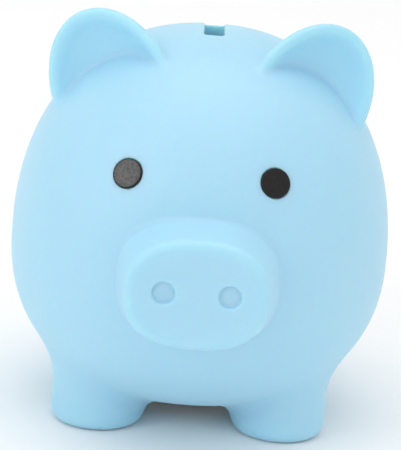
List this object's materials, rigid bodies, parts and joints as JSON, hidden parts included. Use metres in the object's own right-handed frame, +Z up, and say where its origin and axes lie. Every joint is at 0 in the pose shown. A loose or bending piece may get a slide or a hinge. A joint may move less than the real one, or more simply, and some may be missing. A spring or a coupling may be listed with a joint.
{
  "type": "piggy bank",
  "caption": "Round hollow pig-shaped coin bank with upright ears, flat snout, short legs, a slot in the back and a twist-lock belly stopper.",
  "frame": {"origin": "centre of the bounding box on the plane of the four soles", "axes": "+Z up, the pig faces -Y, so its snout is at -Y, its tail at +Y and its own left side at +X"},
  "size_m": [0.112, 0.1398, 0.1213],
  "materials": {
    "vinyl_blue": "matte",
    "eye_black": "satin",
    "stopper_white": "satin",
    "seal_grey": "matte"
  },
  "bodies": {
    "bank": {"body_shell": "vinyl_blue", "left_eye": "eye_black", "right_eye": "eye_black", "stopper_collar": "stopper_white"},
    "seal": {"stopper_seal": "seal_grey"},
    "cap": {"stopper_cap": "stopper_white"}
  },
  "joints": [
    {"name": "stopper_pull", "type": "slide", "parent": "bank", "child": "seal", "axis": [0, 0, -1], "range_m": [0, 0.02]},
    {"name": "stopper_twist", "type": "hinge", "parent": "seal", "child": "cap", "pos_m": [0, 0, 0.004], "axis": [0, 0, 1], "range_deg": [0, 90]}
  ]
}
